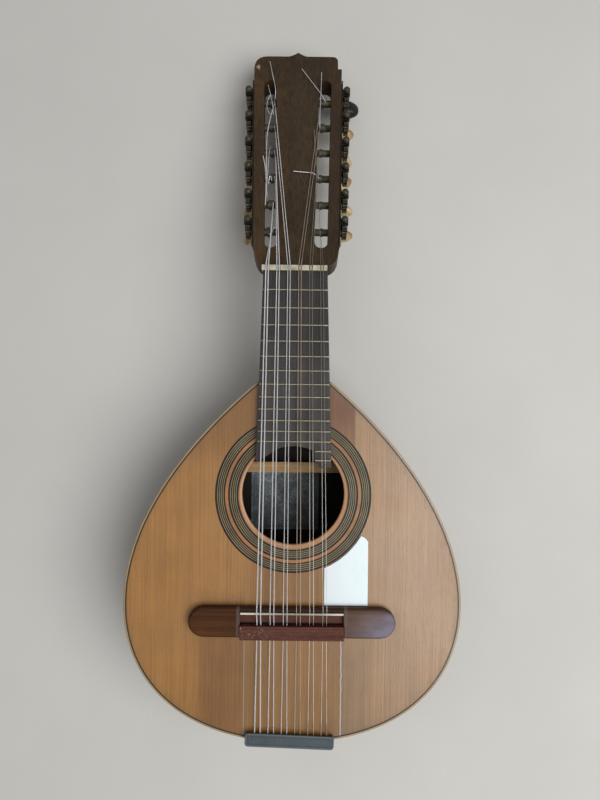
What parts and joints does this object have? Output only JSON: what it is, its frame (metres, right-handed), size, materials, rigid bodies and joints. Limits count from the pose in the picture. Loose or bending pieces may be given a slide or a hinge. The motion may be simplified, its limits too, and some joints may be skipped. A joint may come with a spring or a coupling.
{
  "type": "bandurria",
  "caption": "Pear-shaped, flat-backed plucked instrument with paired strings, round soundhole, fixed bridge, tailpiece and a slotted head with worm tuners that turn.",
  "frame": {"origin": "on the flat back, directly below the middle of the saddle", "axes": "+Y along the neck towards the head, +X towards the treble side, +Z out of the soundboard"},
  "size_m": [0.26, 0.5628, 0.0884],
  "materials": {
    "spruce": "thin aged varnish, satin",
    "walnut": "thin aged varnish, satin",
    "cedar": "thin aged varnish, satin",
    "dark_wood": "waxed, worn",
    "ebony": "bare, worn",
    "pale_wood": "bare",
    "inlay": "thin strips of wood, varnished",
    "rosewood": "bare, worn",
    "bone": "bone, polished by use",
    "pearl": "pearly sheet, glossy",
    "slate": "slate grey, matte",
    "brass": "dark with age",
    "steel": "plain and wound wire",
    "cream_plastic": "cream, yellowed",
    "black_plastic": "black, glossy"
  },
  "bodies": {
    "body": {"back": "walnut", "back_bar": "pale_wood", "back_lining": "pale_wood", "bridge": "dark_wood", "bridge_tie_block": "rosewood", "fingerboard": "ebony", "guard_plate": "pearl", "headstock": "cedar", "machine_plate_left": "brass", "machine_plate_right": "brass", "neck": "cedar", "nut": "bone", "rib_left": "walnut", "rib_right": "walnut", "rosette": "inlay", "saddle": "bone", "soundboard": "spruce", "soundboard_bar_lower": "pale_wood", "soundboard_bar_upper": "pale_wood", "string_01_bass": "steel", "string_02_bass": "steel", "string_03_bass": "steel", "string_04_bass": "steel", "string_05_bass": "steel", "string_06_bass": "steel", "string_07_treble": "steel", "string_08_treble": "steel", "string_09_treble": "steel", "string_10_treble": "steel", "string_11_treble": "steel", "string_12_treble": "steel", "tail_block": "pale_wood", "tailpiece_cover": "slate", "tailpiece_hook_plate": "brass", "top_binding": "pale_wood", "top_lining": "pale_wood"},
    "roller_left_1": {"roller_left_1": "brass"},
    "roller_left_2": {"roller_left_2": "brass"},
    "roller_left_3": {"roller_left_3": "brass"},
    "roller_left_4": {"roller_left_4": "brass"},
    "roller_left_5": {"roller_left_5": "brass"},
    "roller_left_6": {"roller_left_6": "brass"},
    "roller_right_1": {"roller_right_1": "brass"},
    "roller_right_2": {"roller_right_2": "brass"},
    "roller_right_3": {"roller_right_3": "brass"},
    "roller_right_4": {"roller_right_4": "brass"},
    "roller_right_5": {"roller_right_5": "brass"},
    "roller_right_6": {"roller_right_6": "brass"},
    "worm_left_1": {"worm_left_1": "cream_plastic"},
    "worm_left_2": {"worm_left_2": "cream_plastic"},
    "worm_left_3": {"worm_left_3": "cream_plastic"},
    "worm_left_4": {"worm_left_4": "cream_plastic"},
    "worm_left_5": {"worm_left_5": "cream_plastic"},
    "worm_left_6": {"worm_left_6": "cream_plastic"},
    "worm_right_1": {"worm_right_1": "cream_plastic"},
    "worm_right_2": {"worm_right_2": "cream_plastic"},
    "worm_right_3": {"worm_right_3": "cream_plastic"},
    "worm_right_4": {"worm_right_4": "cream_plastic"},
    "worm_right_5": {"worm_right_5": "cream_plastic"},
    "worm_right_6": {"worm_right_6": "black_plastic"}
  },
  "joints": [
    {"name": "worm_right_1_turn", "type": "hinge", "parent": "body", "child": "worm_right_1", "pos_m": [0.03826, 0.30153, 0.06074], "axis": [0, 0.2588, 0.9659], "continuous": true},
    {"name": "roller_right_1_turn", "type": "hinge", "parent": "body", "child": "roller_right_1", "pos_m": [0.03357, 0.29448, 0.06263], "axis": [0.9997, -0.0223, 0.006], "continuous": true},
    {"name": "worm_right_2_turn", "type": "hinge", "parent": "body", "child": "worm_right_2", "pos_m": [0.03882, 0.32509, 0.05443], "axis": [0, 0.2588, 0.9659], "continuous": true},
    {"name": "roller_right_2_turn", "type": "hinge", "parent": "body", "child": "roller_right_2", "pos_m": [0.03413, 0.31805, 0.05632], "axis": [0.9997, -0.0223, 0.006], "continuous": true},
    {"name": "worm_right_3_turn", "type": "hinge", "parent": "body", "child": "worm_right_3", "pos_m": [0.03938, 0.34865, 0.04812], "axis": [0, 0.2588, 0.9659], "continuous": true},
    {"name": "roller_right_3_turn", "type": "hinge", "parent": "body", "child": "roller_right_3", "pos_m": [0.03469, 0.34161, 0.05], "axis": [0.9997, -0.0223, 0.006], "continuous": true},
    {"name": "worm_right_4_turn", "type": "hinge", "parent": "body", "child": "worm_right_4", "pos_m": [0.03995, 0.37222, 0.0418], "axis": [0, 0.2588, 0.9659], "continuous": true},
    {"name": "roller_right_4_turn", "type": "hinge", "parent": "body", "child": "roller_right_4", "pos_m": [0.03526, 0.36517, 0.04369], "axis": [0.9997, -0.0223, 0.006], "continuous": true},
    {"name": "worm_right_5_turn", "type": "hinge", "parent": "body", "child": "worm_right_5", "pos_m": [0.04051, 0.39578, 0.03549], "axis": [0, 0.2588, 0.9659], "continuous": true},
    {"name": "roller_right_5_turn", "type": "hinge", "parent": "body", "child": "roller_right_5", "pos_m": [0.03582, 0.38873, 0.03738], "axis": [0.9997, -0.0223, 0.006], "continuous": true},
    {"name": "worm_right_6_turn", "type": "hinge", "parent": "body", "child": "worm_right_6", "pos_m": [0.04107, 0.41934, 0.02917], "axis": [0, 0.2588, 0.9659], "continuous": true},
    {"name": "roller_right_6_turn", "type": "hinge", "parent": "body", "child": "roller_right_6", "pos_m": [0.03638, 0.41229, 0.03106], "axis": [0.9997, -0.0223, 0.006], "continuous": true},
    {"name": "worm_left_1_turn", "type": "hinge", "parent": "body", "child": "worm_left_1", "pos_m": [-0.03826, 0.30153, 0.06074], "axis": [0, 0.2588, 0.9659], "continuous": true},
    {"name": "roller_left_1_turn", "type": "hinge", "parent": "body", "child": "roller_left_1", "pos_m": [-0.03357, 0.29448, 0.06263], "axis": [-0.9997, -0.0223, 0.006], "continuous": true},
    {"name": "worm_left_2_turn", "type": "hinge", "parent": "body", "child": "worm_left_2", "pos_m": [-0.03882, 0.32509, 0.05443], "axis": [0, 0.2588, 0.9659], "continuous": true},
    {"name": "roller_left_2_turn", "type": "hinge", "parent": "body", "child": "roller_left_2", "pos_m": [-0.03413, 0.31805, 0.05632], "axis": [-0.9997, -0.0223, 0.006], "continuous": true},
    {"name": "worm_left_3_turn", "type": "hinge", "parent": "body", "child": "worm_left_3", "pos_m": [-0.03938, 0.34865, 0.04812], "axis": [0, 0.2588, 0.9659], "continuous": true},
    {"name": "roller_left_3_turn", "type": "hinge", "parent": "body", "child": "roller_left_3", "pos_m": [-0.03469, 0.34161, 0.05], "axis": [-0.9997, -0.0223, 0.006], "continuous": true},
    {"name": "worm_left_4_turn", "type": "hinge", "parent": "body", "child": "worm_left_4", "pos_m": [-0.03995, 0.37222, 0.0418], "axis": [0, 0.2588, 0.9659], "continuous": true},
    {"name": "roller_left_4_turn", "type": "hinge", "parent": "body", "child": "roller_left_4", "pos_m": [-0.03526, 0.36517, 0.04369], "axis": [-0.9997, -0.0223, 0.006], "continuous": true},
    {"name": "worm_left_5_turn", "type": "hinge", "parent": "body", "child": "worm_left_5", "pos_m": [-0.04051, 0.39578, 0.03549], "axis": [0, 0.2588, 0.9659], "continuous": true},
    {"name": "roller_left_5_turn", "type": "hinge", "parent": "body", "child": "roller_left_5", "pos_m": [-0.03582, 0.38873, 0.03738], "axis": [-0.9997, -0.0223, 0.006], "continuous": true},
    {"name": "worm_left_6_turn", "type": "hinge", "parent": "body", "child": "worm_left_6", "pos_m": [-0.04107, 0.41934, 0.02917], "axis": [0, 0.2588, 0.9659], "continuous": true},
    {"name": "roller_left_6_turn", "type": "hinge", "parent": "body", "child": "roller_left_6", "pos_m": [-0.03638, 0.41229, 0.03106], "axis": [-0.9997, -0.0223, 0.006], "continuous": true}
  ],
  "couplings": [
    {"joint": "roller_right_1_turn", "follows": "worm_right_1_turn", "ratio": -0.071429},
    {"joint": "roller_right_2_turn", "follows": "worm_right_2_turn", "ratio": -0.071429},
    {"joint": "roller_right_3_turn", "follows": "worm_right_3_turn", "ratio": -0.071429},
    {"joint": "roller_right_4_turn", "follows": "worm_right_4_turn", "ratio": -0.071429},
    {"joint": "roller_right_5_turn", "follows": "worm_right_5_turn", "ratio": -0.071429},
    {"joint": "roller_right_6_turn", "follows": "worm_right_6_turn", "ratio": -0.071429},
    {"joint": "roller_left_1_turn", "follows": "worm_left_1_turn", "ratio": 0.071429},
    {"joint": "roller_left_2_turn", "follows": "worm_left_2_turn", "ratio": 0.071429},
    {"joint": "roller_left_3_turn", "follows": "worm_left_3_turn", "ratio": 0.071429},
    {"joint": "roller_left_4_turn", "follows": "worm_left_4_turn", "ratio": 0.071429},
    {"joint": "roller_left_5_turn", "follows": "worm_left_5_turn", "ratio": 0.071429},
    {"joint": "roller_left_6_turn", "follows": "worm_left_6_turn", "ratio": 0.071429}
  ]
}
